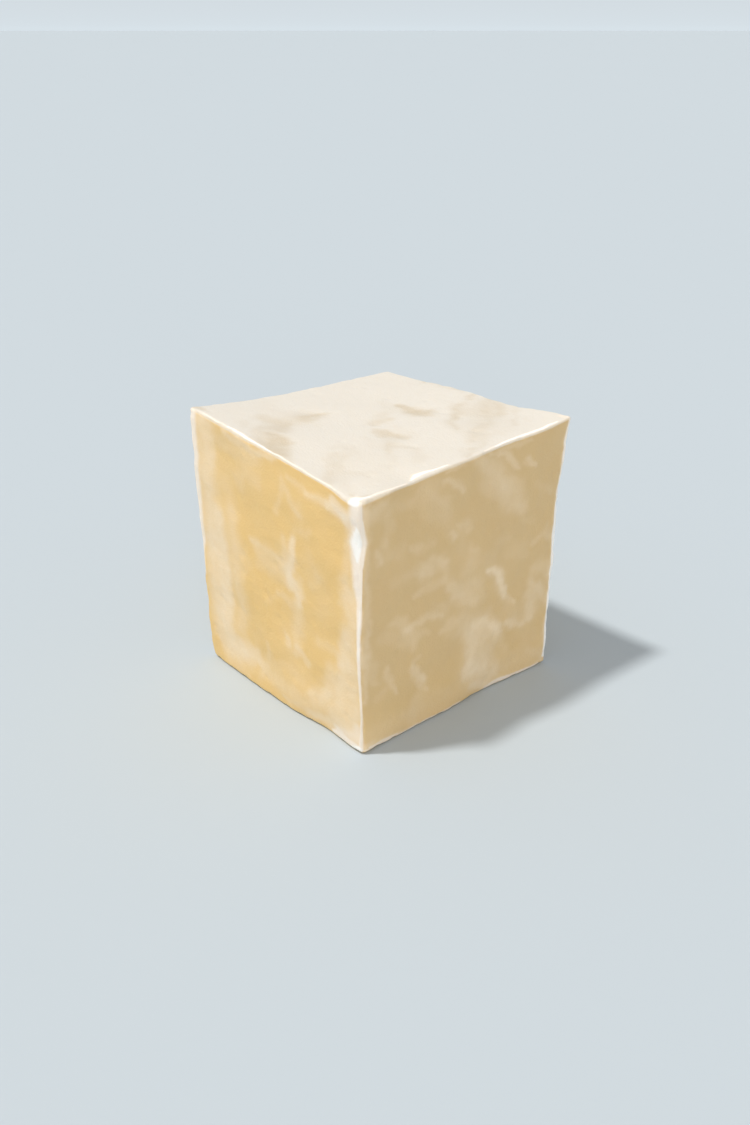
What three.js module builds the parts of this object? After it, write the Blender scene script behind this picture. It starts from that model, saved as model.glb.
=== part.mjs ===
// A block of firm tofu, pressed in a mould and cut by hand, standing on its base.
// It is one piece: nearly a cube, with corners a little high or low, edges that bow and waver, a worn
// near upright edge, and shallow dents in its top. Its base is flat.
// Millimetres, +Z up. The origin is at the middle of the base. The front face looks along -Y and the
// right face along +X.
import * as THREE from "three";
import { mergeVertices } from "three/addons/utils/BufferGeometryUtils.js";

// The size that the cutter aimed at.
const width = 70; // along X
const depth = 72; // along Y
const height = 74; // along Z
const half = new THREE.Vector3(width / 2, depth / 2, height / 2);
const baseToMiddle = new THREE.Vector3(0, 0, half.z);

// The grid on each face: a few close rows follow the rounding of each edge, and the rest are even.
const roundingRows = [0.4, 0.9, 1.6, 2.7]; // distance from the edge
const evenRows = { x: 16, y: 16, z: 13 };

// How far each corner of the cut lies from its true place. The base's corners stay on the table.
// side: -1 or 1 along X, Y and Z.
const cornerShifts = [
  { side: [1, -1, -1], by: [-1.1, 0.4, 0] },
  { side: [-1, -1, -1], by: [1.3, -0.2, 0] },
  { side: [1, 1, -1], by: [-0.3, -0.6, 0] },
  { side: [-1, 1, -1], by: [0.5, -0.3, 0] },
  { side: [1, -1, 1], by: [0.1, -1.0, -2.5] },
  { side: [-1, -1, 1], by: [-1.5, -0.1, 2.5] },
  { side: [1, 1, 1], by: [0.7, 1.1, 2.0] },
  { side: [-1, 1, 1], by: [-0.4, -0.7, -1.0] },
];

// How far the middle of an edge bows from the straight line between its corners. The 0 in side is
// the axis that the edge runs along.
const edgeBows = [
  { side: [1, 1, 0], by: [-0.5, -0.5, 0] },
  { side: [-1, -1, 0], by: [-0.5, -0.3, 0] },
  { side: [-1, 1, 0], by: [-0.4, 0.5, 0] },
  { side: [1, -1, 0], by: [0.2, -0.3, 0] },
  { side: [-1, 0, 1], by: [-0.2, 0, -0.7] },
  { side: [0, 1, 1], by: [0, 0.2, -0.5] },
  { side: [1, 0, 1], by: [0.2, 0, 0.3] },
  { side: [0, -1, 1], by: [0, -0.2, 0.2] },
  { side: [1, 0, -1], by: [-0.8, 0, 0] },
  { side: [0, -1, -1], by: [0, -0.7, 0] },
  { side: [-1, 0, -1], by: [-0.4, 0, 0] },
  { side: [0, 1, -1], by: [0, 0.4, 0] },
];

// Short dips in the edges: where along the edge the dip lies, how far it reaches, and its shift there.
const edgeDips = [
  { side: [0, 1, 1], at: 13, reach: 9, by: [0, -0.2, -1.2] },
  { side: [-1, 0, 1], at: -9, reach: 14, by: [0.1, 0, -0.5] },
  { side: [1, 0, 1], at: -20, reach: 4, by: [-0.4, 0, -0.5] },
  { side: [1, 1, 0], at: 6, reach: 9, by: [-0.7, -0.7, 0] },
  { side: [1, 0, -1], at: 11, reach: 9, by: [-0.7, 0, 0] },
];
const dipSharpness = 8; // how closely a dip keeps to its edge

// How far the middle of each standing face swells as the block sags under its own weight.
const sideSwell = 0.5;

// Rounding of the edges, and how much rounder the near upright edge is in the two places where it is
// worn.
const edgeRadius = 1.0;
const wornPlaces = [
  { z: 59, reach: 9, radius: 1.9 },
  { z: 0, reach: 7, radius: 0.8 },
];
const wornSharpness = 6; // how closely the wear keeps to its edge

// The slow waviness of the surface: direction, wavelength and height of each wave.
const waves = [
  { along: [0.62, 0.41, 0.67], length: 31, rise: 0.2, start: 0.4 },
  { along: [-0.35, 0.81, 0.47], length: 23, rise: 0.16, start: 2.1 },
  { along: [0.71, -0.52, 0.48], length: 17, rise: 0.12, start: 4.4 },
  { along: [0.18, 0.43, -0.88], length: 13, rise: 0.1, start: 1.3 },
];
const calmNearBase = 6; // the waves die out over this height, so that the base sits flat

// Shallow dents in the top: middle, half length, half width, turn from the X axis and depth.
const topDents = [
  { x: -16, y: -10, long: 5, wide: 2.6, turn: 40, deep: 0.8 },
  { x: -13, y: -21, long: 7, wide: 4, turn: 70, deep: 0.6 },
  { x: -3, y: -31, long: 6, wide: 4, turn: 25, deep: 0.7 },
  { x: 0, y: 14, long: 6, wide: 2.6, turn: 75, deep: 0.9 },
  { x: 10, y: -4, long: 5, wide: 2.6, turn: 80, deep: 0.7 },
  { x: 1, y: -1, long: 4, wide: 2.4, turn: 60, deep: 0.5 },
  { x: 17, y: 24, long: 10, wide: 6, turn: 60, deep: 0.5 },
  { x: 19, y: -29, long: 7, wide: 5, turn: 50, deep: 0.5 },
];

const tofuColour = 0xf0dfb8;

const clamp = THREE.MathUtils.clamp;
const bell = (distance) => Math.exp(-distance * distance);

// Where the grid's lines cross an edge, from -1 to 1: close rows at both ends, even rows between.
function gridLines(halfSize, rows) {
  const near = roundingRows.map((d) => 1 - d / halfSize);
  const last = near[near.length - 1];
  const even = Array.from({ length: rows - 1 }, (_, i) => -last + (2 * last * (i + 1)) / rows);
  return [-1, ...near.map((p) => -p), ...even, ...near.toReversed(), 1];
}

// The radius of the rounding near a place on the block, given from -1 to 1 along each axis.
function radiusAt(place) {
  const nearUpright = (Math.max(place.x, 0) * Math.max(-place.y, 0)) ** wornSharpness;
  const z = (place.z + 1) * half.z;
  const wear = wornPlaces.reduce((sum, w) => sum + w.radius * bell((z - w.z) / w.reach), 0);
  return edgeRadius + nearUpright * wear;
}

// Moves a point of the sharp box onto the rounded one, and gives the outward direction there.
function roundOff(place) {
  const radius = radiusAt(place);
  const sharp = place.clone().multiply(half);
  const core = new THREE.Vector3(
    clamp(sharp.x, radius - half.x, half.x - radius),
    clamp(sharp.y, radius - half.y, half.y - radius),
    clamp(sharp.z, radius - half.z, half.z - radius),
  );
  const outward = sharp.sub(core).normalize();
  return { point: core.addScaledVector(outward, radius), outward };
}

// How near a place is to a corner or an edge: 1 on it, and 0 on the faces across from it. The axis
// that an edge runs along doesn't count.
function nearness(side, place) {
  return side.reduce((share, s, axis) => {
    return s === 0 ? share : (share * (1 + s * place.getComponent(axis))) / 2;
  }, 1);
}

// How strongly a corner, or the middle of an edge, pulls at a place. At the ends of its edge a bow
// pulls at nothing.
function pull(side, place) {
  const axis = side.indexOf(0);
  const t = axis < 0 ? 0 : place.getComponent(axis);
  return nearness(side, place) * (1 - t * t);
}

// How strongly a dip pulls at a place: fully at its own spot on its edge, and less all round it.
function dipPull({ side, at, reach }, place) {
  const axis = side.indexOf(0);
  const alongEdge = place.getComponent(axis) * half.getComponent(axis);
  return nearness(side, place) ** dipSharpness * bell((alongEdge - at) / reach);
}

// The shift of the whole cut at a place: corners, bowed and dipped edges, and swollen sides.
function cutShift(place) {
  const shift = new THREE.Vector3();
  for (const { side, by } of [...cornerShifts, ...edgeBows]) {
    shift.addScaledVector(new THREE.Vector3(...by), pull(side, place));
  }
  for (const dip of edgeDips) {
    shift.addScaledVector(new THREE.Vector3(...dip.by), dipPull(dip, place));
  }
  const swell = sideSwell * (1 - place.z * place.z);
  shift.x += swell * place.x * (1 - place.y * place.y);
  shift.y += swell * place.y * (1 - place.x * place.x);
  return shift;
}

// Height of the slow waves at a point, nothing at the base.
function waveRise(point) {
  const calm = THREE.MathUtils.smoothstep(point.z + half.z, 0, calmNearBase);
  return calm * waves.reduce((sum, w) => {
    const travel = new THREE.Vector3(...w.along).dot(point);
    return sum + w.rise * Math.sin((2 * Math.PI * travel) / w.length + w.start);
  }, 0);
}

// Depth of the dents at a point of the top.
function dentDepth(point) {
  return topDents.reduce((sum, dent) => {
    const turn = THREE.MathUtils.degToRad(dent.turn);
    const dx = point.x - dent.x;
    const dy = point.y - dent.y;
    const along = (dx * Math.cos(turn) + dy * Math.sin(turn)) / dent.long;
    const across = (dy * Math.cos(turn) - dx * Math.sin(turn)) / dent.wide;
    return sum + dent.deep * bell(Math.hypot(along, across));
  }, 0);
}

// A point of the block's skin, from its place on the surface of a box that runs from -1 to 1.
function skinPoint(place) {
  const { point, outward } = roundOff(place);
  const upward = Math.max(outward.z, 0) ** 4;
  const rise = waveRise(point) - upward * dentDepth(point);
  const shift = cutShift(point.clone().divide(half));
  return point.addScaledVector(outward, rise).add(shift).add(baseToMiddle);
}

// The block: an even box grid, its lines moved towards the edges, and each vertex set on the skin.
function makeBlock() {
  const lines = {
    x: gridLines(half.x, evenRows.x),
    y: gridLines(half.y, evenRows.y),
    z: gridLines(half.z, evenRows.z),
  };
  const count = (axis) => lines[axis].length - 1;
  const box = new THREE.BoxGeometry(2, 2, 2, count("x"), count("y"), count("z"));
  box.deleteAttribute("normal");
  box.deleteAttribute("uv");
  const geometry = mergeVertices(box);
  const position = geometry.getAttribute("position");
  const onLine = (axis, t) => lines[axis][Math.round(((t + 1) / 2) * count(axis))];
  const place = new THREE.Vector3();
  for (let i = 0; i < position.count; i++) {
    place.fromBufferAttribute(position, i);
    place.set(onLine("x", place.x), onLine("y", place.y), onLine("z", place.z));
    const skin = skinPoint(place);
    position.setXYZ(i, skin.x, skin.y, skin.z);
  }
  geometry.computeVertexNormals();
  geometry.computeBoundingBox();
  return geometry;
}

const block = new THREE.Mesh(
  makeBlock(),
  new THREE.MeshStandardMaterial({ color: tofuColour, roughness: 0.5, metalness: 0 }),
);
block.name = "tofu_block";

// The middle of the block's outline goes over the origin, and its base on the table.
const middle = block.geometry.boundingBox.getCenter(new THREE.Vector3());
block.position.set(-middle.x, -middle.y, -block.geometry.boundingBox.min.z);

const tofu = new THREE.Group();
tofu.add(block);

export default tofu;
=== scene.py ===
import math
import random

import bmesh
import bpy
import numpy as np
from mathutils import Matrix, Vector, noise


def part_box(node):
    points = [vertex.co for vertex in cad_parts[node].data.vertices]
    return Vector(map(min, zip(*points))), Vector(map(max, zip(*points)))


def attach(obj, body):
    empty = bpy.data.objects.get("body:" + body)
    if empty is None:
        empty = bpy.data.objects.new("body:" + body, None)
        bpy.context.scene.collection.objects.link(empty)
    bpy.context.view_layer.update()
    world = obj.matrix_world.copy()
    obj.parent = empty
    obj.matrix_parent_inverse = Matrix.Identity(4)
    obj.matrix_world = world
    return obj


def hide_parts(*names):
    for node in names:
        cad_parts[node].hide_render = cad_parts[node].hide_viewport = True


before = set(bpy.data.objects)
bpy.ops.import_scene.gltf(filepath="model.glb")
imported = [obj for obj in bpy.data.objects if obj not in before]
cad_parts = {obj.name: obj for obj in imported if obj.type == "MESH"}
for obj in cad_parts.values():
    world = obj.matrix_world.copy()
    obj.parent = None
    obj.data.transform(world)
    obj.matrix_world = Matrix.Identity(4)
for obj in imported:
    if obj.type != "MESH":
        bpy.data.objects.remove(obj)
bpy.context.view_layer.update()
mm = 0.001


class Wire:  # a node's socket, so that shader sums read as plain sums
    def __init__(self, socket):
        self.socket = socket

    @staticmethod
    def node(tree, kind, settings=None, sockets=None, output=0):
        made = tree.nodes.new(kind)
        for name, value in (settings or {}).items():
            setattr(made, name, value)
        for name, value in (sockets or {}).items():
            if isinstance(value, Wire):
                tree.links.new(value.socket, made.inputs[name])
            else:
                made.inputs[name].default_value = value
        return Wire(made.outputs[output]) if made.outputs else made

    def maths(self, operation, first, second):
        tree = self.socket.id_data
        return Wire.node(tree, "ShaderNodeMath", {"operation": operation}, {0: first, 1: second})

    def __add__(self, other):
        return self.maths("ADD", self, other)

    def __radd__(self, other):
        return self.maths("ADD", other, self)

    def __sub__(self, other):
        return self.maths("SUBTRACT", self, other)

    def __rsub__(self, other):
        return self.maths("SUBTRACT", other, self)

    def __mul__(self, other):
        return self.maths("MULTIPLY", self, other)

    def __rmul__(self, other):
        return self.maths("MULTIPLY", other, self)

    def power(self, exponent):
        return self.maths("POWER", self, exponent)

    def atLeast(self, least):
        return self.maths("MAXIMUM", self, least)

    def blend(self, first, second):  # from the first colour to the second as this goes from 0 to 1
        tree = self.socket.id_data
        sockets = {0: self, 6: first, 7: second}  # 6 and 7 are the Mix node's colours
        return Wire.node(tree, "ShaderNodeMix", {"data_type": "RGBA"}, sockets, output=2)


# The camera, the lights, the sky and the floor, in metres and degrees.
camera = {
    "place": (0.2103, -0.1881, 0.1695),
    "turn": 48.29,
    "down": 26.09,
    "lens": 35.0,
    "clipStart": 0.01,
}
lights = {  # spread is how wide the lamp looks
    "key": {"turn": -32, "down": 65.5, "spread": 5, "strength": 1.97, "colour": (1.0, 0.98, 0.95)},
    "fill": {"turn": 50, "down": 6, "spread": 40, "strength": 1.23, "colour": (1.0, 0.98, 1.0)},
}
sky = {
    "horizon": (0.685, 0.76, 0.81, 1),
    "overhead": (0.485, 0.473, 0.467, 1),
    "climb": 0.5,  # under 1, the overhead colour comes down close to the horizon
}
studioFloor = {
    "radius": 60.0,
    "sides": 96,
    "below": 0.1 * mm,  # so that it doesn't lie in one plane with the block's base
    "colour": (0.56, 0.62, 0.66, 1),
}


def aim(thing, way):  # a turn of 0 faces +Y, and down is below the horizon
    thing.rotation_euler = (math.radians(90 - way["down"]), 0, math.radians(way["turn"]))


def makeCamera():
    data = bpy.data.cameras.new("camera")
    data.lens = camera["lens"]
    data.clip_start = camera["clipStart"]
    eye = bpy.data.objects.new("camera", data)
    eye.location = camera["place"]
    aim(eye, camera)
    bpy.context.scene.collection.objects.link(eye)
    bpy.context.scene.camera = eye
    bpy.context.scene.view_settings.view_transform = "Standard"


def makeLights():
    for name, light in lights.items():
        data = bpy.data.lights.new(name, "SUN")
        data.angle = math.radians(light["spread"])
        data.energy = light["strength"]
        data.color = light["colour"]
        lamp = bpy.data.objects.new(name, data)
        aim(lamp, light)
        bpy.context.scene.collection.objects.link(lamp)


def makeSky():
    world = bpy.data.worlds.new("studio")
    world.use_nodes = True
    tree = world.node_tree
    tree.nodes.clear()
    way = Wire.node(tree, "ShaderNodeTexCoord", output="Generated")
    height = Wire.node(tree, "ShaderNodeSeparateXYZ", sockets={"Vector": way}, output="Z")
    glow = height.atLeast(0).power(sky["climb"]).blend(sky["horizon"], sky["overhead"])
    background = Wire.node(tree, "ShaderNodeBackground", sockets={"Color": glow})
    Wire.node(tree, "ShaderNodeOutputWorld", sockets={"Surface": background})
    bpy.context.scene.world = world


def makeFloor():
    material = bpy.data.materials.new("floor")
    material.use_nodes = True
    skin = material.node_tree.nodes["Principled BSDF"]
    skin.inputs["Base Color"].default_value = studioFloor["colour"]
    skin.inputs["Roughness"].default_value = 1.0
    skin.inputs["Specular IOR Level"].default_value = 0.0
    bm = bmesh.new()
    sides, radius = studioFloor["sides"], studioFloor["radius"]
    bmesh.ops.create_circle(bm, cap_ends=True, segments=sides, radius=radius)
    bmesh.ops.translate(bm, verts=bm.verts[:], vec=(0, 0, -studioFloor["below"]))
    mesh = bpy.data.meshes.new("floor")
    bm.to_mesh(mesh)
    bm.free()
    mesh.materials.append(material)
    floor = bpy.data.objects.new("floor", mesh)
    bpy.context.scene.collection.objects.link(floor)
    return floor


# The form of the block, in millimetres. A side is -1 or 1 along X, Y and Z, or 0 along the axis that
# an edge runs on. A place along an edge counts from the edge's middle.
block = {
    "size": (70, 72, 74),
    "cells": 124,  # mesh cells along each edge
    "edgeCells": 12,  # of these, the close ones beside each edge
    "edgeBand": 3.0,  # and how wide those are together
    "edgeRadius": 1.0,
    "sideSwell": 0.5,
    "calmNearBase": 6,  # the surface's waves and lumps die out over this height
    "topSharpness": 4,  # how closely the dents and the calm keep to the top
    "corners": [  # side, shift
        ((1, -1, -1), (-0.5, -0.5, 0)),
        ((-1, -1, -1), (1.3, -0.5, 0)),
        ((1, 1, -1), (0.2, -1.6, 0)),
        ((-1, 1, -1), (0.5, -0.3, 0)),
        ((1, -1, 1), (0.1, -1.0, -1.9)),
        ((-1, -1, 1), (-1.9, -0.3, 3.0)),
        ((1, 1, 1), (0.9, 1.2, 2.5)),
        ((-1, 1, 1), (-0.4, -0.7, -0.5)),
    ],
    "bows": [  # side, shift at the middle of the edge
        ((-1, -1, 0), (-0.5, -0.3, 0)),
        ((-1, 1, 0), (-0.4, 0.5, 0)),
        ((1, -1, 0), (0.2, -0.3, 0)),
        ((-1, 0, 1), (-0.2, 0, -0.95)),
        ((0, 1, 1), (0, 0.2, -0.35)),
        ((1, 0, 1), (0.2, 0, -0.4)),
        ((0, -1, 1), (0, -0.2, -0.25)),
        ((1, 0, -1), (-0.8, 0, 0)),
        ((0, -1, -1), (0, -0.7, 0)),
        ((-1, 0, -1), (-0.4, 0, 0)),
        ((0, 1, -1), (0, 0.4, 0)),
    ],
    "dips": [  # side, place along the edge, reach, shift, how closely it keeps to the edge
        ((0, 1, 1), 13, 9, (0, -0.2, -1.2), 8),
        ((-1, 0, 1), -9, 14, (0.1, 0, -0.5), 8),
        ((1, 0, 1), -20, 4, (-0.4, 0, -0.5), 8),
        ((1, 0, 1), 27, 10, (0, 0, -0.75), 8),
        ((-1, -1, 0), 3, 6, (0.25, 0.2, 0), 8),
        ((-1, -1, 0), -37, 2, (0.4, 0.1, 0), 8),
        ((1, 1, 0), 9, 13, (-1.1, -1.1, 0), 8),
        ((1, 0, -1), 11, 9, (-0.7, 0, 0), 8),
        ((1, 0, -1), -6, 7, (0.4, 0, 0), 8),
        ((0, -1, -1), 19, 8, (0, 1.2, 0), 8),
        ((1, -1, 0), -8, 14, (-0.25, -0.25, 0), 8),
        ((1, -1, 0), 24, 12, (0.15, 0.15, 0), 8),
        ((0, -1, 1), 22, 14, (0, -0.1, -0.7), 4),
        ((0, -1, 1), 29.5, 4, (0, -0.1, -1.3), 8),
    ],
    "worn": [(63.2, 8, 2.1), (0, 7, 0.8)],  # the near upright edge: height up, reach, added radius
    "wornSharpness": 6,
    "waves": [  # direction, wavelength, height, start
        ((0.62, 0.41, 0.67), 31, 0.2, 0.4),
        ((-0.35, 0.81, 0.47), 23, 0.16, 2.1),
        ((0.71, -0.52, 0.48), 17, 0.12, 4.4),
        ((0.18, 0.43, -0.88), 13, 0.1, 1.3),
    ],
    "topDents": [  # x, y, half length, half width, turn, depth
        (-16, -10, 5, 2.6, 40, 0.4),
        (-13, -21, 7, 4, 70, 0.4),
        (-3, -31, 6, 4, 25, 0.4),
        (0, 14, 6, 2.6, 75, 0.45),
        (10, -4, 5, 2.6, 80, 0.35),
        (1, -1, 4, 2.4, 60, 0.3),
        (17, 24, 10, 6, 60, 0.4),
        (19, -29, 7, 5, 50, 0.4),
    ],
    "lumps": [(9, 0.12), (4.2, 0.07), (1.9, 0.05)],  # curd: size, height
    "lumpSeed": 1,
    "creamRise": 0.05,  # smeared curd stands proud
    "beigeSink": 0.12,
    "topCalm": 0.3,  # how much of the waves and lumps the top has
    "edgeWander": [(7, 0.07), (2.6, 0.06)],  # wavelength, height
    "edgeWanderBand": 2.2,
    "edgeWanderSeed": 5,
}
softNoise = {
    "seedStep": (17.3, 5.1, 29.7),  # each seed looks this much further away
    "gain": 1.6,  # brings it to about -1 to 1
}

half = np.array(block["size"]) / 2
baseToMiddle = np.array((0, 0, half[2]))


def bell(distance):  # 1 at no distance, and nearly 0 from 2 on
    return np.exp(-(distance**2))


def smoothStep(low, high, value):
    share = np.clip((value - low) / (high - low), 0, 1)
    return share * share * (3 - 2 * share)


def cloud(points, size, seed):  # soft noise in lumps of that size
    away = Vector(softNoise["seedStep"]) * seed
    return softNoise["gain"] * np.array([noise.noise(Vector(p) / size + away) for p in points])


def nearness(side, place):  # 1 on a corner or an edge, 0 on the faces across from it
    near = np.ones(len(place))
    for axis, s in enumerate(side):
        if s:
            near *= (1 + s * place[:, axis]) / 2
    return near


def cutShift(place):  # how far the uneven cut moves each place of the even block
    shift = np.zeros(place.shape)
    for side, by in block["corners"]:
        shift += np.outer(nearness(side, place), by)
    for side, by in block["bows"]:
        along = place[:, side.index(0)]
        shift += np.outer(nearness(side, place) * (1 - along**2), by)
    for side, at, reach, by, closeness in block["dips"]:
        axis = side.index(0)
        pull = nearness(side, place) ** closeness
        shift += np.outer(pull * bell((place[:, axis] * half[axis] - at) / reach), by)
    swell = block["sideSwell"] * (1 - place[:, 2] ** 2)
    shift[:, 0] += swell * place[:, 0] * (1 - place[:, 1] ** 2)
    shift[:, 1] += swell * place[:, 1] * (1 - place[:, 0] ** 2)
    return shift


def roundOff(place):  # the even block with round edges, and the outward direction all over it
    nearUpright = (np.clip(place[:, 0], 0, 1) * np.clip(-place[:, 1], 0, 1)) ** block["wornSharpness"]
    height = (place[:, 2] + 1) * half[2]
    wear = sum(radius * bell((height - z) / reach) for z, reach, radius in block["worn"])
    radius = (block["edgeRadius"] + nearUpright * wear)[:, None]
    core = np.clip(place * half, radius - half, half - radius)
    outward = place * half - core
    outward /= np.linalg.norm(outward, axis=1)[:, None]
    return core + outward * radius, outward


def waveRise(point):
    return sum(
        rise * np.sin(2 * math.pi * (point @ np.array(along)) / length + start)
        for along, length, rise, start in block["waves"]
    )


def dentDepth(point):
    depth = 0
    for x, y, long, wide, turn, deep in block["topDents"]:
        c, s = math.cos(math.radians(turn)), math.sin(math.radians(turn))
        dx, dy = point[:, 0] - x, point[:, 1] - y
        depth = depth + deep * bell(np.hypot((dx * c + dy * s) / long, (dy * c - dx * s) / wide))
    return depth


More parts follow.
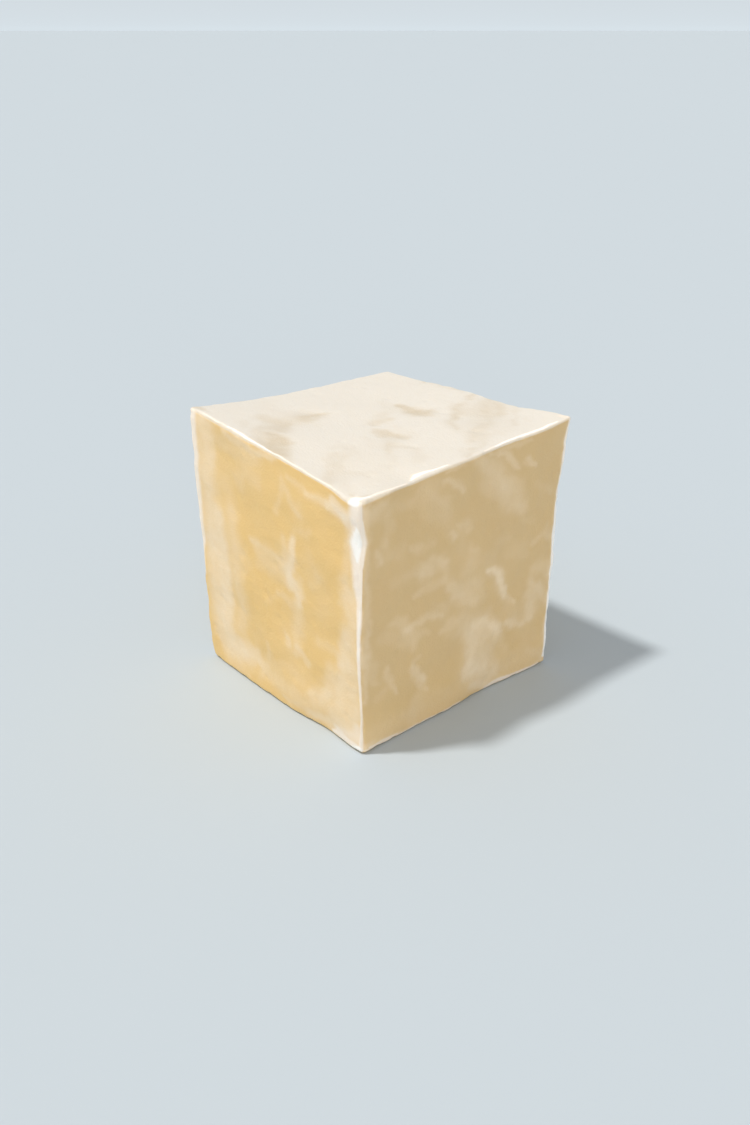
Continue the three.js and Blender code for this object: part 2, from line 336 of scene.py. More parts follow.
# The strokes on each face. A stroke is its strength, and then its points, each with a half width.
# The top is seen from above (x, y), and a standing face from in front (sideways, height).
strokes = {
    # darker beige smudges over the top's dents: a darker tone, partly painted shade in the dents
    "topBeige": [
        (0.55, (-13.6, -6.6, 1.2), (-13.8, -10, 2.9), (-13.6, -13.4, 3.2)),
        (0.45, (-14.2, -8, 0.8), (-14.2, -13, 1.8)),
        (0.15, (-18, -10.5, 2), (-17, -15, 3)),
        (0.12, (-31, -13, 2), (-25, -18, 4), (-12, -16, 4), (-8, -15, 2)),
        (0.45, (-19.5, -23, 2.4), (-14, -20.6, 3.4), (-10, -24, 3.4)),
        (0.35, (-15, -20.5, 2.4), (-11.5, -24, 3)),
        (0.25, (-13, -19, 1), (-11, -22, 1.6), (-9, -25, 1.4)),
        (0.4, (-14, -27, 2.2), (-11.4, -30, 2.6), (-7, -31, 2.4)),
        (0.75, (-9, -28.6, 1.4), (-5, -28.6, 1.9), (-2, -29, 1.8)),
        (0.9, (-4.5, -30.5, 3), (-2, -33.5, 4), (2, -35.4, 3)),
        (0.4, (-8, -34.5, 1.8), (-6, -35, 1.6)),
        (0.35, (1, -31.5, 1.8), (4.5, -34, 1.8), (8, -35.6, 1.2)),
        (0.2, (-19.5, -29, 1.6), (-16, -32, 1.4)),
        (0.85, (-6.6, 12.8, 1), (-4, 12.7, 1.7), (-0.5, 12.6, 2.4), (2.4, 13.4, 3.4)),
        (0.6, (0.6, 14.8, 1.8), (3, 15.4, 1.8)),
        (0.3, (4, 12, 2), (6, 13.4, 1.2)),
        (0.18, (-11.5, 12, 1.6), (-5, 9.6, 2), (-3.5, 5, 2.4)),
        (0.25, (-3, 4, 2), (-1, 1, 2.6)),
        (0.35, (0.4, 4, 1), (0.8, 1.6, 1.5), (-0.8, -1.4, 1.6)),
        (0.52, (5, -4.4, 1.5), (8, -4.6, 2.4), (11.6, -3.6, 2), (14.2, -3.2, 1.3)),
        (0.35, (6, -3, 1), (6.4, -4.6, 1.4), (8.6, -5.6, 1.3)),
        (0.3, (8, -3.6, 1.2), (11.6, -3.8, 1.3)),
        (0.12, (6, 0.6, 1.4), (10, -0.4, 1.6), (14, -1, 1.6)),
        (0.28, (12, -6.6, 2), (16, -9, 2.4), (19, -7.6, 1.6)),
        (0.35, (14.4, -9, 1), (16.4, -11.4, 1.2), (18, -12.6, 0.9)),
        (0.2, (21, -6, 1.6), (26, -10, 2.2), (27.6, -12, 1.6)),
        (0.15, (19.6, -13.4, 1.4), (23, -15, 1.2), (25.4, -18.6, 1.2)),
        (0.1, (7.6, -10.6, 1.6), (13, -12.4, 2)),
        (0.16, (7, -21.4, 1.4), (9.6, -17.4, 2), (12, -20.6, 2.4)),
        (0.3, (10.4, -23.6, 1.4), (12.4, -26, 2), (15.4, -28, 1.6)),
        (0.22, (13, -23, 1.2), (15.6, -26, 1.4), (18, -28.6, 1.4)),
        (0.2, (17.4, -26.4, 1), (21, -26.8, 1.4), (24, -25.6, 1.4)),
        (0.38, (17.4, -30.4, 1.4), (19.6, -32.4, 2), (22, -34.4, 1.5)),
        (0.16, (20, -29, 1.6), (25, -32.6, 1.8), (29, -33.6, 1.2)),
        (0.1, (18, -20, 8), (28, -24, 6)),
        (0.6, (-34.4, -34.8, 1.6), (-32.6, -34.4, 1.2)),
        (0.45, (29.8, -34.4, 0.7), (30.8, -34.2, 0.6)),
        (0.45, (32, -32.8, 0.8), (32.8, -32, 0.8)),
        (0.5, (1.6, 35.6, 0.9), (2, 33.4, 1.5), (3.6, 31, 1.2)),
        (0.42, (8, 35, 2.4), (9.6, 31, 3.4), (13.4, 28.6, 4), (17, 26, 3)),
        (0.3, (11, 34.6, 1.6), (14.6, 31.6, 1.8), (18.2, 27.4, 1.4)),
        (0.18, (11, 34, 0.7), (14, 31.4, 0.8), (17, 28, 0.7)),
        (0.2, (10, 31, 0.9), (13.6, 27, 1)),
        (0.25, (4.4, 28, 1.4), (7, 25, 2.6), (11, 21.4, 2.4)),
        (0.4, (4.2, 25.4, 1.3), (5.6, 23, 1.5), (9.4, 20.2, 1.5), (11.4, 17, 1.6)),
        (0.4, (11.4, 17, 1.6), (13, 14.4, 1.4), (16.8, 11.2, 1.1), (19, 10.2, 0.8)),
        (0.22, (5, 23.6, 0.7), (9.6, 20, 0.7), (11, 17, 0.6)),
        (0.3, (13, 25, 3.4), (19, 20.4, 4.6), (24, 14.4, 4.4), (28, 8, 3)),
        (0.14, (21, 19, 1.8), (24, 13.6, 2), (27.6, 7, 1.8)),
        (0.16, (18, 23, 1.2), (21.6, 18, 1.2), (22.4, 13, 1.2), (26, 9, 1.1)),
        (0.25, (30.8, 8, 1), (32, 4, 1.2)),
        (0.4, (31, 3.6, 0.9), (32.6, 1.6, 1), (33.6, -1.6, 0.8)),
        (0.22, (29, 2.6, 0.6), (31.4, 0, 0.6), (33, -3, 0.6)),
        (0.12, (24, 25, 1.8), (28.4, 20, 1.6), (29.6, 14.6, 1.4)),
        (0.25, (19, 31, 1), (22.4, 28.4, 0.8), (25, 25, 0.9), (28, 22.4, 0.7)),
        (0.16, (16, 35, 1), (20, 31.4, 1)),
        (0.14, (25.6, 29, 0.6), (29, 26.4, 0.6)),
        (0.1, (14, 12, 2), (20.6, 9.4, 2)),
        (0.5, (-19, 35.6, 0.9), (-17.6, 34.6, 0.8)),
        (0.2, (-16, 35, 1), (-10, 34.4, 1.3), (-2, 34.4, 0.9)),
    ],
    "topWhite": [  # white lists paint highlights on partly worn edges; a half strength is pale, a full one white
        (0.7, (-30, -35.4, 0.25), (-25, -35.4, 0.35), (-18, -35.4, 0.4)),
        (1.0, (-18, -35.4, 0.45), (-12, -35.4, 0.58), (-6, -35.4, 0.58), (0, -35.4, 0.45)),
        (0.7, (0, -35.4, 0.4), (6, -35.4, 0.32), (16, -35.4, 0.3), (21, -35.4, 0.28), (25, -35.4, 0.2)),
        (1.0, (31.4, -35, 1.4), (32.8, -34.8, 1.3)),
        (0.95, (33.2, -34.2, 0.9), (34.1, -32.6, 0.5)),
        (0.75, (34.1, -32.6, 0.5), (34.2, -29, 0.4), (34.3, -25, 0.35), (34.3, -22, 0.3)),
        (1.0, (33.9, -19.8, 0.35), (32.9, -17.4, 1.05), (33.1, -15.8, 0.9), (33.8, -12.6, 0.45),
         (34.1, -8.4, 0.25)),
        (0.75, (34.4, 4, 0.25), (34.3, 8, 0.35)),
        (1.0, (34.3, 8, 0.4), (34, 13, 0.58), (33.9, 20, 0.62), (34, 26, 0.52), (34.1, 31, 0.35)),
        (0.5, (33, 34.6, 1.2), (34.6, 35.4, 1.2)),
    ],
    # paler cream smears: a smeared tone, partly painted light where light catches the raised smears
    "frontCream": [
        (0.7, (-29, 74, 4.4), (-28.4, 62, 4.6), (-28, 50, 5), (-28, 38, 5.2)),
        (0.72, (-28, 38, 5.2), (-27.6, 24, 5), (-27, 12, 4.6), (-25, 9, 4.4)),
        (0.3, (-30, 73, 2.4), (-26, 73, 2.4), (-25.6, 60, 1.8)),
        (0.8, (-23.6, 48.4, 2.4), (-23, 40, 3), (-22.6, 33, 3.4), (-22.8, 24, 3.2)),
        (0.8, (-22.8, 24, 3.2), (-24, 16, 4), (-22, 9.6, 4), (-16, 8.6, 4)),
        (0.5, (-21.4, 33, 1), (-20.6, 31, 1.7), (-21.4, 28.6, 1.4)),
        (0.3, (-19.6, 29.6, 1.1), (-20.6, 26.4, 1.1), (-21.8, 23, 1)),
        (0.75, (-18, 9, 3.6), (-12.6, 10, 3.2), (-10, 12, 2.2), (-9.4, 9.4, 2.2)),
        (0.35, (-30, 9, 2), (-26, 5.6, 2), (-20, 4.8, 1.8)),
        (0.4, (-8.6, 9, 2), (-7, 6.4, 2), (-9, 4.6, 1.8)),
        (0.44, (-17.6, 50, 3), (-16.4, 41, 4.2), (-16, 33, 3.6), (-15, 26, 3.2), (-16.6, 17, 2.6)),
        (0.15, (-14.6, 43, 2), (-13.4, 34, 1.8), (-10, 39, 2)),
        (0.3, (-21, 69.4, 2.6), (-14, 68.6, 3), (-5, 69.4, 2.2)),
        (0.22, (-20, 58, 3), (-17, 54, 3), (-15.6, 51, 2)),
        (0.22, (-13, 60.6, 2.4), (-9.6, 64.6, 3), (-5, 64, 2.4)),
        (0.12, (-19, 63, 2.4), (-14, 62, 2.4)),
        (0.6, (-19, 72.6, 1.1), (-14, 71.6, 1.4), (-8, 72, 1.4), (-2, 72.4, 1.2), (3, 73, 0.8)),
        (0.35, (-7, 46.4, 1.8), (-3, 44, 3.6), (3, 43, 4.2)),
        (0.3, (-8.6, 46, 1.1), (-4, 47, 1.2), (1, 46.6, 1.4), (4.6, 46, 1.6)),
        (0.15, (-6, 40, 1.8), (0, 40.6, 1.8)),
        (0.85, (10.4, 54.4, 1.1), (9.6, 51, 1.6), (8.8, 47.6, 1.9), (7.8, 44, 2), (7.8, 41.4, 2.2)),
        (0.8, (7.8, 41.4, 2.2), (10, 40.4, 2.3), (11.4, 38, 2), (11.8, 36, 1.3)),
        (0.45, (9.4, 49, 0.9), (7.6, 44, 1), (8.4, 40.6, 1.4)),
        (0.35, (6.6, 53.4, 1.2), (6.4, 50, 1.4), (6, 46.6, 1.8)),
        (0.25, (12.4, 43.4, 1.4), (13, 39, 1.4)),
        (0.3, (3, 35.6, 1), (5.6, 35, 1.4), (9, 35.6, 1.8)),
        (0.12, (2.6, 35, 1), (-0.4, 32.4, 1), (-3, 29.6, 1)),
        (0.38, (10.8, 35, 2), (10, 30, 2), (9.6, 24, 1.9), (9.2, 20.4, 1.6)),
        (0.42, (9.6, 22, 1.2), (11.6, 20.6, 1.3), (14, 18.4, 1)),
        (0.45, (5, 23.4, 1.1), (5.5, 21.4, 1.2)),
        (0.12, (12, 26.6, 1.6), (12.6, 32, 1.4)),
        (0.3, (5.4, 68, 1.1), (7.6, 65.8, 1.2), (9.8, 63.8, 1.3), (12, 62.4, 1)),
        (0.25, (5.6, 65.6, 0.9), (4.6, 62, 1.1), (3.4, 59, 1)),
        (0.12, (12, 64, 2), (12.6, 59, 2)),
        (0.2, (11, 57, 1.2), (14.6, 57, 1.6), (17, 59, 1.2)),
        (0.14, (16, 52.6, 2.2), (19, 48.4, 2.4), (17, 44, 1.8)),
        (0.12, (18.6, 48, 1), (18, 45.6, 1)),
        (0.1, (14, 49, 3), (22, 42, 4), (20, 36.6, 3)),
        (0.25, (18.6, 28, 1.6), (22.6, 28, 1.8), (26.4, 28, 1.4)),
        (0.55, (15.4, 68.4, 1), (18.6, 68.4, 1.2), (22, 69, 1.4)),
        (0.3, (8, 69.4, 1), (14, 69, 1.1)),
        (0.85, (23, 69, 1.5), (27, 68.8, 1.9), (31.6, 69, 2.4)),
        (0.4, (29.6, 66, 1.3), (29.8, 58, 1.5), (29.8, 52, 1.8), (30.4, 47, 2)),
        (0.25, (28.6, 50, 1.6), (28.4, 44, 1.6)),
        (0.42, (32.6, 56, 0.9), (33, 48, 1.2), (33.2, 38, 1.4), (33.1, 26, 1.5), (33, 12, 1.4)),
        (0.6, (31, 47, 2), (31, 40, 2.4), (30.6, 33, 2.8), (29.8, 27, 3.2)),
        (0.45, (30.4, 36, 1.4), (29.4, 30, 1.8), (28.4, 25, 1.8)),
        (0.7, (30, 25, 3.2), (28, 19, 4.6), (28, 12, 5.4), (28, 7.6, 4.8)),
        (0.4, (23.4, 22, 2.2), (22.6, 18, 2.8), (21, 13, 3)),
        (0.35, (27, 22, 1.2), (26.4, 16, 1.3), (25.6, 12.4, 1.3)),
        (0.45, (32, 20, 1.6), (32, 12, 1.8), (31.6, 7.6, 1.6)),
        (0.7, (27, 5.4, 2.2), (32, 5, 2.4)),
        (0.6, (14.6, 10.4, 1.4), (18, 11.6, 2.2), (21.6, 13.6, 2.2)),
        (0.45, (15.6, 8.4, 1.5), (20, 9.4, 2.4), (23.6, 8, 2.4)),
        (0.4, (-5.4, 7, 3), (1, 6.6, 3.4), (8, 6.6, 3.8), (15, 6, 3.2)),
        (0.18, (-2, 11, 2), (4, 13.4, 2), (11, 12.4, 2)),
        (0.28, (-3.6, 17.4, 1), (-3.4, 15, 1.4), (-4.6, 12, 1.8), (-5.4, 9.4, 1.6)),
        (0.36, (2, 2.6, 0.8), (8, 3.2, 1.4), (14, 3.6, 1.8), (20, 4, 2)),
        (0.62, (12.6, 2.6, 1.2), (18, 3.4, 2.4), (24, 4.4, 3.2)),
        (0.22, (-27, 3, 1.6), (-21, 2.6, 1.6), (-15, 2.4, 1.2)),
        (0.12, (6, 24, 3), (8, 16, 3), (14, 14, 3)),
        (0.08, (-10, 16, 2), (-6, 22, 2)),
    ],
    # painted highlights and pale worn bands along the front's edges
    "frontWhite": [
        (0.5, (-34.6, 73, 2.6), (-34.6, 66, 2.6), (-34.3, 61, 2.7), (-34.4, 57, 2.6), (-34.4, 52, 2.4)),
        (0.5, (-34.4, 52, 2.4), (-34.4, 42, 2.1), (-34.5, 36, 1.8), (-34.5, 33.4, 1)),
        (0.35, (-34.4, 32.5, 1), (-34.4, 27, 1)),
        (0.5, (33.6, 74, 2.7), (33.6, 70, 2.8), (33.6, 65, 3), (33.4, 62, 3.3), (33.6, 59, 2.9)),
        (0.5, (33.6, 59, 2.9), (33.8, 55, 2.4), (34, 50, 2), (34.4, 45.5, 1.3)),
        (0.5, (34.4, 45.5, 1.3), (34.4, 40, 0.75), (34.4, 36, 0.6), (34.4, 26, 0.55), (34.4, 22, 0.5)),
        (0.45, (34.4, 22, 0.5), (34.5, 16, 0.5), (34.5, 11, 0.55)),
        (0.5, (34.5, 11, 0.5), (34.4, 8, 0.6), (34.2, 4, 0.9), (34, 0.5, 1.3)),
        (0.88, (33, 66.4, 0.4), (32.8, 64.4, 1.5), (32.9, 62, 2.4), (33.1, 59.6, 1.6),
         (33.2, 57.2, 0.5)),
        (1.0, (31.4, 74, 1.3), (33, 73.4, 1.3)),
        (0.65, (34.4, 44, 0.45), (34.4, 40, 0.35), (34.4, 35, 0.4), (34.4, 29, 0.25)),
        (0.2, (25, 70.8, 1.6), (29, 69.4, 2.2), (32, 67, 2.4)),
        (0.5, (22.4, 1.4, 0.8), (25, 2, 1.6), (29, 1.6, 1.5), (34, 1.2, 1.6)),
        (0.42, (24.8, 3.4, 1.3), (26.2, 3.2, 1.2)),
        (0.25, (24, 3.4, 1.4), (30, 3.4, 2), (32.6, 4.6, 2.4), (33, 8, 1.6)),
        (0.9, (31, 0.8, 0.6), (33.4, 1.4, 1.1)),
    ],
    # paler cream smears and lines on the brown sides: a smeared tone, partly painted light on raised
    # smears
    "sideCream": [
        (0.35, (-34.6, 72, 1), (-34.5, 52, 1.3), (-34.3, 40, 1.4), (-34.3, 24, 1.3), (-34.6, 16, 1)),
        (0.5, (35.4, 73, 1), (35.2, 58, 0.8), (35.2, 44, 1.1), (35.1, 34, 1.3), (35.2, 20, 1),
         (35.1, 1, 1.2)),
        (0.65, (-35, 1.6, 1.2), (-30, 1.5, 1.2), (-24, 1.2, 1), (-16, 0.8, 0.8)),
        (0.4, (-16, 0.8, 0.8), (-10, 0.7, 0.7)),
        (0.4, (11, 1, 0.7), (17, 1.2, 1), (24, 0.9, 0.9), (33, 0.8, 0.7)),
        (0.3, (6, 73, 0.6), (12, 72.6, 0.9), (20, 72.4, 0.8)),
        (0.3, (-9, 73, 0.6), (-4, 72.8, 0.7)),
        (0.35, (-34.4, 70.4, 1.4), (-32.6, 70, 2), (-30, 71.4, 1.4)),
        (0.15, (-34, 68.6, 1.6), (-28, 69.6, 2.2), (-21, 68.6, 1.6)),
        (0.18, (-28.6, 68, 1.4), (-27, 64, 1.8), (-29, 60.6, 1.4)),
        (0.2, (-28.2, 60.8, 0.9), (-28.4, 59.6, 0.8)),
        (0.38, (-31, 59, 1), (-30.8, 57, 1.3), (-30.6, 55.6, 1)),
        (0.14, (-28, 57.4, 1.8), (-24.6, 56.4, 2.2), (-22.4, 57.6, 1.4)),
        (0.14, (-19.6, 69, 1.6), (-15.6, 67, 2.6), (-11.6, 64, 2.6), (-8.8, 61, 1.6)),
        (0.17, (-18, 70.6, 1.1), (-13.4, 67.4, 1.6), (-10, 64, 1.4)),
        (0.12, (-15.6, 62.6, 2.2), (-11, 60.6, 2), (-7, 57.6, 2.2), (-3, 53.4, 2.4)),
        (0.14, (-17, 72, 1.3), (-12.4, 70.6, 1.8)),
        (0.42, (-9.8, 70.2, 1), (-6.6, 68.4, 1.5), (-3.8, 66.4, 1)),
        (0.4, (-7.6, 55.2, 1), (-6.4, 54, 1.3)),
        (0.25, (-4.4, 57.4, 1.3), (-2, 56, 2), (-1, 54, 1.4)),
        (0.25, (-20, 56, 1), (-18.4, 55, 1.3)),
        (0.15, (-18, 54, 1.6), (-13, 54.4, 1.4)),
        (0.1, (-4, 50, 2), (1, 48, 2.4), (1, 42, 2.6)),
        (0.22, (-19, 49.6, 1.6), (-15, 48, 3), (-9.6, 48.4, 2.2)),
        (0.35, (-15.4, 48, 2), (-14, 46.8, 2)),
        (0.28, (-13, 50.2, 0.9), (-11, 49, 1.3), (-8.8, 47.6, 1.3)),
        (0.2, (-9, 47, 1.6), (-8, 43.4, 1.6), (-5.6, 41, 2)),
        (0.14, (-26, 48.4, 1.6), (-22, 48.6, 2)),
        (0.3, (-18.8, 41.6, 1.2), (-14, 42.3, 1.7), (-8.6, 42.6, 1.6)),
        (0.22, (0.8, 48.4, 1.3), (2.4, 47.8, 1.2)),
        (0.14, (0, 45.6, 1.8), (-1, 43, 1.8)),
        (0.36, (-6, 40, 1.8), (-3, 37.4, 3), (1, 35, 3.6), (4, 31.8, 2.8)),
        (0.2, (-4.4, 36.4, 1.3), (-1, 34.6, 1.8), (2.4, 31.6, 1.6)),
        (0.16, (1.4, 38.4, 1.6), (5, 36, 1.8)),
        (0.36, (1, 73, 1.8), (4.6, 69.4, 3.2), (8.6, 65.4, 3.8), (12, 61.6, 3.4)),
        (0.26, (12, 61.6, 3.2), (15.6, 57.6, 3), (19.4, 54, 2.4)),
        (0.18, (3, 71.4, 1.6), (7.4, 67.4, 2), (11.4, 63.4, 1.8)),
        (0.12, (6, 72.4, 1), (8.6, 68.6, 1.2), (11, 66.4, 1.1)),
        (0.15, (2.6, 65.6, 1.6), (8, 60.6, 2), (14, 55.4, 1.8)),
        (0.2, (16.6, 56, 1.6), (20.4, 53.4, 1.7)),
        (0.14, (14, 63.4, 2), (17, 60, 1.8)),
        (0.5, (9, 71.6, 0.9), (12, 70.2, 1.1), (14.6, 68.2, 1.3), (17.4, 65.8, 0.9)),
        (0.48, (19.4, 67.8, 1), (20.6, 66.4, 1.2), (22.4, 64.8, 0.8)),
        (0.13, (23.4, 58.4, 1.2), (28, 56.4, 1.5), (31, 55, 1)),
        (0.1, (20, 50, 1), (25.6, 47.4, 1)),
        (0.1, (10.6, 47, 1.5), (14.6, 46, 1.4)),
        (0.13, (14.6, 42.4, 1.8), (21.6, 41, 2.6), (23, 38.4, 1.6)),
        (0.25, (25.8, 41.2, 1), (28.6, 42.2, 1.1), (31, 42.4, 1.2), (33, 41, 1.2), (35.2, 40.4, 1)),
        (0.15, (31.2, 44.2, 1), (32.8, 43.4, 1)),
        (0.1, (2, 44, 2.6), (9, 43, 2.6), (5, 40, 2)),
        (0.78, (8, 39.2, 1.2), (9.6, 38.3, 1.7), (11.8, 36.6, 1.9), (13, 34, 2), (14.2, 31, 1.7),
         (15.2, 29, 1.3)),
        (0.35, (8.6, 39, 0.7), (11.4, 36.8, 1), (13.2, 33.4, 1), (14.2, 31.6, 0.9)),
        (0.42, (15.2, 29, 1.4), (17, 27.2, 1.5), (19.4, 25.4, 1.1)),
        (0.3, (27, 32.4, 1.8), (30, 32.8, 2.2), (34, 32, 1.6)),
        (0.4, (25.4, 29, 2), (27, 26, 3.4), (27, 21, 3.4), (27, 18, 2)),
        (0.22, (24.8, 26, 1.3), (26, 21.4, 1.9), (27.2, 17.8, 1.5)),
        (0.2, (26, 29, 1.2), (29, 26.6, 1.6), (31, 24, 1.4)),
        (0.32, (29.6, 27, 1.6), (31.6, 24.4, 1.8), (34, 21.4, 1.8)),
        (0.2, (32.6, 30, 1.4), (34.4, 27, 1.4)),
        (0.35, (-8.6, 28, 1.4), (-5.4, 28.6, 1.8), (-2, 28.6, 2.4), (0.4, 26, 3), (2, 22, 3)),
        (0.16, (-6, 25.4, 1.8), (-2, 24.6, 2.2)),
        (0.52, (4.2, 23, 4), (5.4, 18, 5.4), (4.6, 12, 5), (5.4, 9, 4.4)),
        (0.3, (10, 21, 3.2), (12.6, 17, 2.8), (10.6, 12, 3)),
        (0.62, (4.4, 24, 1.4), (6.4, 23.6, 2), (9, 24, 1.8), (11.4, 22, 2.1), (13.2, 19.6, 1.8)),
        (0.5, (10.8, 22.4, 1), (12.6, 20.4, 1.4), (13.8, 18.6, 1.1)),
        (0.35, (6, 23.6, 1), (8.6, 24.2, 1)),
        (0.15, (6.4, 27, 1.4), (9.6, 26.8, 1.2)),
        (0.38, (3.6, 19.6, 2), (2.6, 15.6, 2.2), (2.4, 12.6, 2)),
        (0.72, (2.6, 12, 1.9), (2, 9.4, 2), (4, 8.6, 1.8)),
        (0.62, (6.4, 9.4, 2.2), (8.8, 8.6, 2)),
        (0.45, (8.6, 8, 2), (11, 6.4, 2), (13.6, 5, 1.6)),
        (0.35, (9.4, 11.6, 2.4), (12.4, 8.4, 2.2), (15.4, 5.2, 1.6)),
        (0.5, (16.8, 20, 1.3), (18.4, 19.4, 1.8), (21, 18.9, 1.8), (24.4, 17.2, 1.5)),
        (0.2, (17, 20, 1), (19.6, 19.4, 1.1)),
        (0.22, (13, 17, 1.6), (15.6, 14, 1.8), (18, 11.4, 1.6)),
        (0.16, (16.4, 24, 2), (20.6, 22.6, 2.2)),
        (0.75, (4.6, 4.4, 1.2), (7, 3.4, 1.8), (9.8, 2.8, 1.8), (12.4, 1.4, 1.5)),
        (0.4, (8, 6, 1.5), (11, 4.6, 2), (14.6, 3.4, 1.6)),
        (0.12, (16, 9, 3), (22, 7, 3), (26, 10, 3)),
        (0.12, (15.6, 4.4, 1.4), (19, 4, 1.3)),
        (0.2, (28, 7.4, 1.6), (31, 5, 1.6), (33.6, 3.4, 1.2)),
        (0.1, (22, 14, 2), (28, 13.4, 2), (33, 10, 2)),
        (0.32, (-25.6, 36.6, 1.3), (-22.4, 36, 1.6), (-20.6, 33.8, 1.8)),
        (0.42, (-21, 33.8, 1.3), (-16, 33.5, 1.4), (-12, 33.9, 1.2), (-8.8, 32.6, 0.9)),
        (0.26, (-20.6, 32, 2), (-18.4, 29, 2.2), (-18.4, 27, 1.5)),
        (0.2, (-15.6, 29.8, 1.3), (-13.4, 29.2, 1)),
        (0.14, (-24, 29.4, 1.6), (-21, 28.4, 1.6)),
        (0.16, (-29.6, 33, 2), (-24, 32.8, 2.4), (-20, 30, 3)),
        (0.1, (-12, 36.4, 2), (-8, 32, 2)),
        (0.22, (-34, 30, 1.6), (-32.4, 26.4, 2), (-32, 23, 1.8), (-31.4, 21, 1.2)),
        (0.16, (-34.6, 27, 1.1), (-34.4, 37, 1)),
        (0.36, (-27.8, 24, 1), (-27.2, 21.4, 1.5), (-26, 18.6, 1.2), (-24.4, 15.6, 0.9)),
        (0.14, (-29, 18, 1.2), (-31, 15.4, 1.2)),
        (0.22, (-16.4, 22.8, 0.9), (-18.4, 22, 1)),
        (0.5, (-19, 20.8, 1.1), (-18, 18.8, 1.4), (-16.8, 16.6, 1.5), (-15, 14.6, 1.5)),
        (0.36, (-15.4, 15, 1.6), (-14.4, 12.6, 1.4), (-12.4, 10.4, 1)),
        (0.22, (-17, 9.6, 1.8), (-17.6, 6, 2), (-17.4, 3, 1.4)),
        (0.1, (-15, 9.6, 1.6), (-14.6, 4.6, 1.6)),
        (0.2, (-9.4, 36, 1.2), (-7, 34.4, 1.4)),
        # a broad paler wash along the foot: painted light against the floor's shadow
        (0.25, (-32, 4, 5), (34, 4, 5)),
    ],
    # painted highlights and pale worn lines along the brown side's edges
    "sideWhite": [
        (0.5, (-36, 68.4, 0.5), (-35.8, 65.4, 0.9), (-35.6, 62.4, 1.3), (-35.8, 59.4, 0.8),
         (-36, 56, 0.4)),
        (0.3, (-35.6, 0.8, 0.6), (-33.6, 1, 0.4)),
        (0.38, (-33.6, 1.3, 0.5), (-29, 1.4, 0.8), (-24, 1, 0.6)),
        (0.35, (-24, 0.7, 0.4), (-14, 0.6, 0.5), (-4, 0.6, 0.5), (0.6, 0.7, 0.4)),
        (0.45, (11, 0.8, 0.5), (16, 1, 0.9), (21, 0.9, 0.8), (33, 0.6, 0.4)),
        (0.7, (35.4, 73, 0.85), (35.2, 68, 0.8), (35.2, 60, 0.8), (35.3, 52, 0.75)),
        (0.9, (35.4, 52, 0.65), (35.2, 46, 0.85), (35.1, 40, 0.95), (35.2, 33, 0.95), (35.3, 26, 0.85)),
        (0.95, (35.3, 27, 0.75), (35.3, 18, 0.8), (35.3, 10, 0.75), (35.2, 3, 0.95)),
    ],
}

# The standing faces: the axis that each looks along, and its side of the block. Sideways on it is the
# axis across, and turn and up are -1 where the strokes run the other way. The two faces away from the
# camera borrow the strokes of the other two. tan paints shade: it is how much of the darker, browner tan
# a face takes, full on the face in the key light's shadow and less on the back.
faces = [
    {"axis": 1, "side": -1, "across": 0, "turn": 1, "up": 1, "strokes": "front", "shadedTan": 0},
    {"axis": 0, "side": 1, "across": 1, "turn": 1, "up": 1, "strokes": "side", "shadedTan": 1},
    {"axis": 1, "side": 1, "across": 0, "turn": 1, "up": -1, "strokes": "side", "shadedTan": 0.6},
    {"axis": 0, "side": -1, "across": 1, "turn": -1, "up": -1, "strokes": "front", "shadedTan": 0},
]
smears = {
    "onFace": 0.999,  # a place past this lies on the face
    "madeFor": {"front": block["size"][0], "side": block["size"][1]},  # the face width that each set fits
    "rim": {"beige": 2.4, "cream": 2.4, "white": 5},  # how suddenly a stroke ends at its half width
    "feathering": [(6, 0.7), (2.4, 0.45), (0.9, 0.2)],  # noise that moves the rims: size, reach
    "featheringSeed": 10,
    "highlightAndWearFeathering": 0.25,  # how much of it the strokes of painted highlight and wear have
    "litIvory": (0.15, 0.5),  # painted light: how far up the skin faces where ivory starts, and where it is full
    "topEdge": {"beige": 0.8, "flat": 0.9, "steep": 0.6},  # beige where the rounding is steep
    "footBrightening": {"less": 0.6, "reach": 12},  # painted light: the brown sides' painted shade eases off near the floor
    "rimWearAndHighlight": {"low": 0.05, "high": 0.28, "most": 0.2},  # the pale rim of wear and painted highlight, by how far the edge has turned
    "rimPatches": {"size": 5, "none": -0.5, "full": 0.6, "seed": 31},  # and where noise lets it show
}


def strokeCover(chosen, layer, u, v):  # how much the strokes cover at each point of a face, from 0 to 1
    bare = np.ones(len(u))
    most = np.zeros(len(u))
    for strength, *points in chosen:
        cover = np.zeros(len(u))
        for (u0, v0, w0), (u1, v1, w1) in zip(points, points[1:]):
            du, dv = u1 - u0, v1 - v0
            share = np.clip(((u - u0) * du + (v - v0) * dv) / (du * du + dv * dv), 0, 1)
            gap = np.hypot(u - u0 - share * du, v - v0 - share * dv)
            width = w0 + share * (w1 - w0)
            cover = np.maximum(cover, np.exp(-((gap / width) ** smears["rim"][layer])))
        bare *= 1 - strength * cover
        most = np.maximum(most, strength * cover)
    return most if layer == "white" else 1 - bare


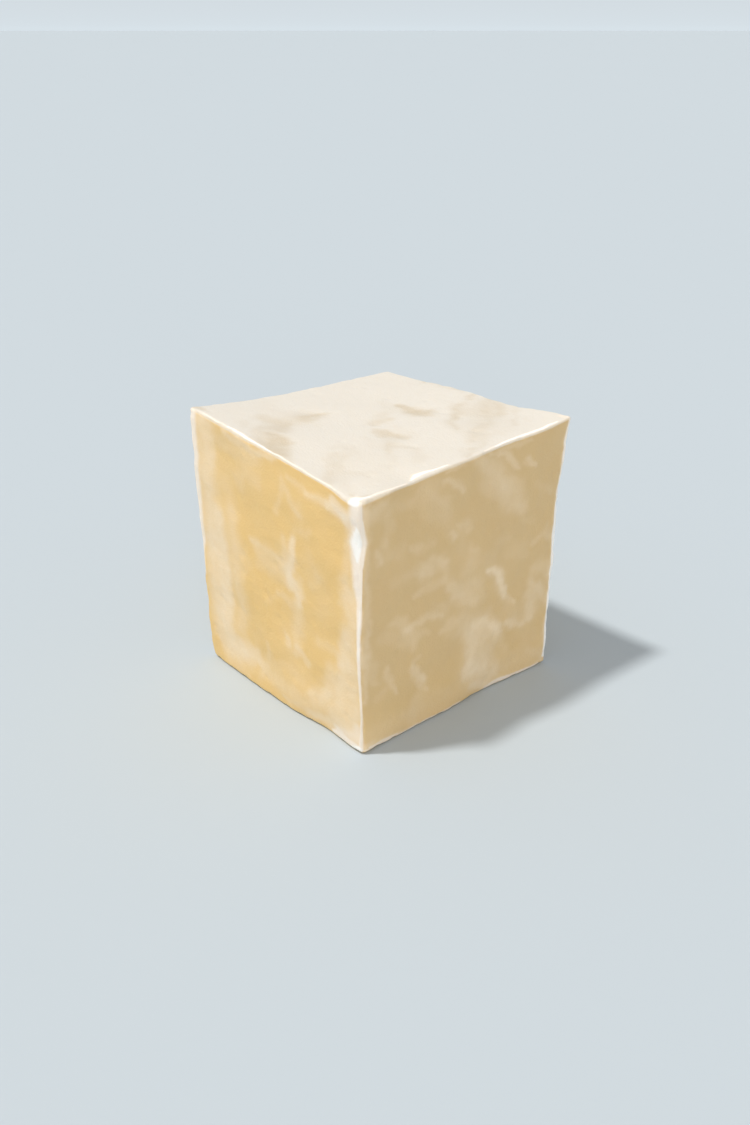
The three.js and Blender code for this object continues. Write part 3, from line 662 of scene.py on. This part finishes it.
def makeFinish(place, outward):  # five values all over the skin, each from 0 to 1
    even = place * half
    drift = np.zeros(place.shape)
    for step, (size, reach) in enumerate(smears["feathering"]):
        for axis in range(3):
            seed = smears["featheringSeed"] + 3 * step + axis
            drift[:, axis] += reach * cloud(even, size, seed)
    feathered = even + drift
    nearlyEven = even + smears["highlightAndWearFeathering"] * drift

    finish = {name: np.zeros(len(place)) for name in ("beige", "cream", "white", "shadedTan")}
    # painted light: the skin takes the paler ivory the more it faces up
    finish["litIvory"] = smoothStep(*smears["litIvory"], outward[:, 2])
    edge = smears["topEdge"]
    finish["beige"] = edge["beige"] * smoothStep(edge["flat"], edge["steep"], outward[:, 2])

    top = place[:, 2] > smears["onFace"]
    beige = strokeCover(strokes["topBeige"], "beige", feathered[top, 0], feathered[top, 1])
    white = strokeCover(strokes["topWhite"], "white", nearlyEven[top, 0], nearlyEven[top, 1])
    finish["beige"][top] = np.maximum(finish["beige"][top], beige)
    finish["white"][top] = white

    footBrightening = smears["footBrightening"]
    for face in faces:
        on = place[:, face["axis"]] * face["side"] > smears["onFace"]
        fit = smears["madeFor"][face["strokes"]] / block["size"][face["across"]]
        for name, at in (("cream", feathered), ("white", nearlyEven)):
            across = face["turn"] * fit * at[on, face["across"]]
            up = half[2] + face["up"] * at[on, 2]
            chosen = strokes[face["strokes"] + name.capitalize()]
            finish[name][on] = np.maximum(finish[name][on], strokeCover(chosen, name, across, up))
        # less of the painted tan shade near the floor: painted light where the floor's shadow darkens the
        # sides
        nearFloor = bell((half[2] + even[on, 2]) / footBrightening["reach"])
        finish["shadedTan"][on] = face["shadedTan"] * (1 - footBrightening["less"] * nearFloor)

    # a pale rim on every edge, partly wear and partly painted highlight, shown in patches
    rim, patches = smears["rimWearAndHighlight"], smears["rimPatches"]
    worn = smoothStep(patches["none"], patches["full"], cloud(even, patches["size"], patches["seed"]))
    onEdge = smoothStep(rim["low"], rim["high"], 1 - np.abs(outward).max(axis=1))
    finish["white"] = np.maximum(finish["white"], rim["most"] * worn * onEdge)
    return finish


# Crumbly nicks along every edge, and little air holes in the curd.
nicks = {"perEdge": 16, "long": (0.6, 2.2), "wide": (0.5, 1.1), "deep": (0.04, 0.2), "seed": 7}
pits = {
    "perFace": 46,
    "wide": (0.5, 1.3),
    "deep": (0.08, 0.3),
    "spread": 0.95,  # of the way from the face's middle to its edges
    "reach": 3,  # half widths past which a pit is nothing
    "seed": 5,
}


def nickShift(point):
    draw = random.Random(nicks["seed"])
    edges = [(axis, a, b) for axis in range(3) for a in (-1, 1) for b in (-1, 1)]
    shift = np.zeros(point.shape)
    for axis, a, b in edges:
        side = np.insert(np.array((a, b), float), axis, 0)
        for _ in range(nicks["perEdge"]):
            spot = side * half
            spot[axis] = draw.uniform(-half[axis], half[axis])
            scale = np.full(3, draw.uniform(*nicks["wide"]))
            scale[axis] = draw.uniform(*nicks["long"])
            deep = draw.uniform(*nicks["deep"])
            gap = np.linalg.norm((point - spot) / scale, axis=1)
            shift -= np.outer(bell(gap), side * deep)
    return shift


def pitDepth(point):
    draw = random.Random(pits["seed"])
    spread = pits["spread"]
    depth = np.zeros(len(point))
    for axis in range(3):
        for side in (-1, 1):
            for _ in range(pits["perFace"]):
                spot = np.array([draw.uniform(-spread, spread) * reach for reach in half])
                spot[axis] = side * half[axis]
                wide = draw.uniform(*pits["wide"])
                deep = draw.uniform(*pits["deep"])
                near = np.abs(point - spot).max(axis=1) < pits["reach"] * wide
                depth[near] += deep * bell(np.linalg.norm(point[near] - spot, axis=1) / wide)
    return depth


def makeSkin(place):  # the skin and its finish, for places from -1 to 1 on the even block
    point, outward = roundOff(place)
    finish = makeFinish(place, outward)
    calm = smoothStep(0, block["calmNearBase"], point[:, 2] + half[2])
    upward = np.clip(outward[:, 2], 0, 1) ** block["topSharpness"]
    rise = waveRise(point)
    for step, (size, height) in enumerate(block["lumps"]):
        rise = rise + height * cloud(point, size, block["lumpSeed"] + step)
    rise = rise * (1 - (1 - block["topCalm"]) * upward)
    rise = rise + block["creamRise"] * finish["cream"] - pitDepth(point)
    rise = calm * rise - upward * (dentDepth(point) + block["beigeSink"] * finish["beige"])

    toEdge = np.sort(half - np.abs(place * half), axis=1)[:, 1]
    nearEdge = bell(toEdge / block["edgeWanderBand"])
    for step, (size, height) in enumerate(block["edgeWander"]):
        seed = block["edgeWanderSeed"] + step
        rise = rise + calm * nearEdge * height * cloud(point, size, seed)

    skin = point + outward * rise[:, None] + cutShift(point / half) + nickShift(point) + baseToMiddle
    skin[:, 2] = np.maximum(skin[:, 2], 0)  # nothing hangs below the flat base
    return skin, finish


def makeBlock():
    bm = bmesh.new()
    bmesh.ops.create_cube(bm, size=2)
    bmesh.ops.subdivide_edges(bm, edges=bm.edges[:], cuts=block["cells"] - 1, use_grid_fill=True)
    print("tofu: a grid of", len(bm.faces), "faces")

    place = np.array([vert.co for vert in bm.verts])
    inner = 1 - 2 * block["edgeCells"] / block["cells"]
    for axis in range(3):
        band = 1 - block["edgeBand"] / half[axis]
        place[:, axis] = np.interp(place[:, axis], (-1, -inner, inner, 1), (-1, -band, band, 1))
    skin, finish = makeSkin(place)
    low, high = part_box("tofu_block")  # the skin's middle goes over that of the solid
    middle = (skin.min(axis=0) + skin.max(axis=0)) / 2
    skin[:, :2] += np.array((low + high) / 2)[:2] / mm - middle[:2]
    for vert, point in zip(bm.verts, skin):
        vert.co = Vector(point) * mm
    for name, values in finish.items():
        layer = bm.verts.layers.float.new(name)
        for vert, value in zip(bm.verts, values):
            vert[layer] = float(value)
    print("tofu: the skin is shaped")

    for face in bm.faces:
        face.smooth = True
    bmesh.ops.recalc_face_normals(bm, faces=bm.faces[:])
    mesh = bpy.data.meshes.new("tofu")
    bm.to_mesh(mesh)
    bm.free()
    tofu = bpy.data.objects.new("tofu", mesh)
    bpy.context.scene.collection.objects.link(tofu)
    return tofu


# The colours. gold is the sides' own colour. The paler ivory top is painted light, and the browner tan of
# the faces turned from the key light is painted shade. beige is a darker tone, partly painted shade in
# the top's dents; cream is a smeared tone, partly painted light on raised smears; pale and white are
# painted highlights on edges that are also partly worn.
tofuFinish = {
    "gold": (0.788, 0.54, 0.23, 1),
    "shadedTan": (0.695, 0.496, 0.254, 1),
    "cream": (0.855, 0.68, 0.457, 1),
    "litIvory": (0.791, 0.734, 0.643, 1),
    "beige": (0.667, 0.567, 0.423, 1),
    "pale": (0.90, 0.785, 0.655, 1),
    "white": (1.0, 0.96, 0.905, 1),
    "grains": {"patches": (16, 3), "curd": (2.2, 3), "dust": (0.6, 2)},  # size in mm, detail
    "mottling": {"beige": 0.6, "cream": 0.5, "white": 0.6},  # how unevenly the curd takes a colour
    "creamPatches": 0.25,
    "roughness": {"mean": 0.46, "patches": 0.25, "curd": 0.12},
    "bump": {"strength": 0.35, "depth": 0.25},  # depth in mm
    "scatter": {"weight": 0.35, "reach": 0.5, "radius": (1.0, 0.92, 0.82)},  # reach in mm
    "wetness": {"start": 0.45, "gain": 0.2, "roughness": 0.22},  # a thin damp coat, in patches
    "ior": 1.38,
    "specular": 0.15,
}


def makeTofuMaterial():
    material = bpy.data.materials.new("tofu")
    material.use_nodes = True
    tree = material.node_tree
    tree.nodes.clear()
    place = Wire.node(tree, "ShaderNodeTexCoord", output="Object")

    def grain(name):  # noise from 0 to 1, and 0.5 on average
        size, detail = tofuFinish["grains"][name]
        sockets = {"Vector": place, "Scale": 1 / (size * mm), "Detail": detail}
        return Wire.node(tree, "ShaderNodeTexNoise", sockets=sockets)

    def painted(name):  # one of the values that the mesh carries
        return Wire.node(tree, "ShaderNodeAttribute", {"attribute_name": name}, output="Fac")

    def mottled(name, strength=1):  # and the same, broken up by the curd
        swing = tofuFinish["mottling"][name]
        return painted(name) * (curd * swing + (strength - swing / 2))

    patches, curd, dust = grain("patches"), grain("curd"), grain("dust")
    # the paler cream smears: partly painted light on the raised smears
    creamed = mottled("cream") + (patches - 0.5) * tofuFinish["creamPatches"]
    # the browner tan on the faces turned from the key light: painted shade
    side = painted("shadedTan").blend(tofuFinish["gold"], tofuFinish["shadedTan"])
    side = creamed.blend(side, tofuFinish["cream"])
    # the darker beige smudges: partly painted shade in the top's dents
    top = mottled("beige").blend(tofuFinish["litIvory"], tofuFinish["beige"])
    # the paler ivory where the skin faces up: painted light on the top
    colour = painted("litIvory").blend(side, top)
    colour = mottled("white", 2).blend(colour, tofuFinish["pale"])  # painted highlight and wear, all pale from a half on
    colour = (painted("white") * 2 - 1).blend(colour, tofuFinish["white"])

    rough, bump = tofuFinish["roughness"], tofuFinish["bump"]
    scatter, wetness = tofuFinish["scatter"], tofuFinish["wetness"]
    grainy = Wire.node(tree, "ShaderNodeBump", sockets={
        "Strength": bump["strength"],
        "Distance": bump["depth"] * mm,
        "Height": curd + dust,
    })
    skin = Wire.node(tree, "ShaderNodeBsdfPrincipled", {"subsurface_method": "RANDOM_WALK"}, {
        "Base Color": colour,
        "Roughness": rough["mean"] + (patches - 0.5) * rough["patches"] + (curd - 0.5) * rough["curd"],
        "Normal": grainy,
        "IOR": tofuFinish["ior"],
        "Subsurface Weight": scatter["weight"],
        "Subsurface Radius": scatter["radius"],
        "Subsurface Scale": scatter["reach"] * mm,
        "Specular IOR Level": tofuFinish["specular"],
        "Coat Weight": (patches - wetness["start"]) * wetness["gain"],
        "Coat Roughness": wetness["roughness"],
    })
    Wire.node(tree, "ShaderNodeOutputMaterial", sockets={"Surface": skin})
    return material


makeCamera()
makeLights()
makeSky()
floor = makeFloor()
print("studio: the camera, the lights and the floor are set up")

tofu = makeBlock()
tofu.data.materials.append(makeTofuMaterial())
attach(tofu, "root")
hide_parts("tofu_block")
print("tofu: finished, with", 2 * len(tofu.data.polygons), "triangles")
